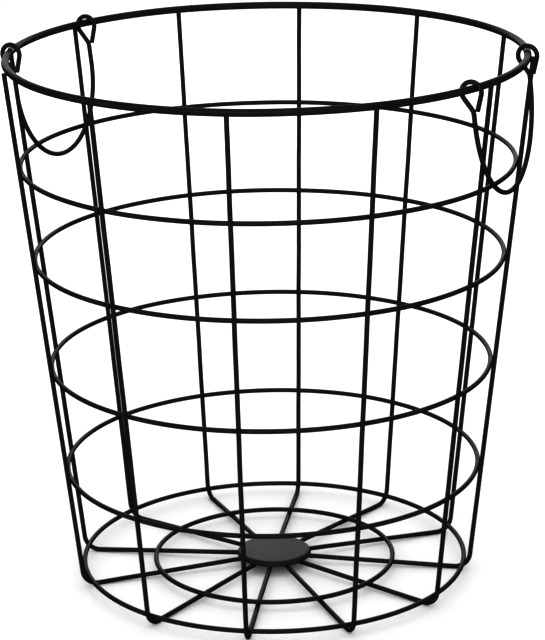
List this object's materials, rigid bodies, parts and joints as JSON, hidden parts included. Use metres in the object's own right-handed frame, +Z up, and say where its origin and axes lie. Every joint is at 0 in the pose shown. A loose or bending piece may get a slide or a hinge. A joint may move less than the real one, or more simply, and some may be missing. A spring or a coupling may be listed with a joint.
{
  "type": "wire collecting basket",
  "caption": "Round open-topped wire basket that tapers to a floor of radial spokes under a small hub plate, with drop handles hooked over opposite sides of a heavy rim wire.",
  "frame": {"origin": "on the ground at the basket's axis, below the centre of the hub plate", "axes": "+Z up along the basket's axis; one handle hangs on the rim at +X and the other 1.8 degrees round from -X, each astride two ribs; +Y to the back"},
  "size_m": [0.3599, 0.36, 0.3813],
  "materials": {
    "coated_wire": "black powder coat, semi-gloss, on round steel wire",
    "coated_plate": "black powder coat, satin, on pressed steel sheet"
  },
  "bodies": {
    "basket": {"rim_ring": "coated_wire", "hoop_1": "coated_wire", "hoop_2": "coated_wire", "hoop_3": "coated_wire", "hoop_4": "coated_wire", "base_ring_outer": "coated_wire", "base_ring_inner": "coated_wire", "hub_plate": "coated_plate", "rib_01": "coated_wire", "rib_02": "coated_wire", "rib_03": "coated_wire", "rib_04": "coated_wire", "rib_05": "coated_wire", "rib_06": "coated_wire", "rib_07": "coated_wire", "rib_08": "coated_wire", "rib_09": "coated_wire", "rib_10": "coated_wire", "rib_11": "coated_wire", "rib_12": "coated_wire"},
    "handle_left": {"handle_left": "coated_wire"},
    "handle_right": {"handle_right": "coated_wire"}
  },
  "joints": [
    {"name": "handle_left_swing", "type": "hinge", "parent": "basket", "child": "handle_left", "pos_m": [-0.16891, 0.00531, 0.375], "axis": [-0.0314, -0.9995, 0], "range_deg": [-2, 349]},
    {"name": "handle_right_swing", "type": "hinge", "parent": "basket", "child": "handle_right", "pos_m": [0.16705, 0, 0.375], "axis": [0, -1, 0], "range_deg": [-1, 349]}
  ]
}
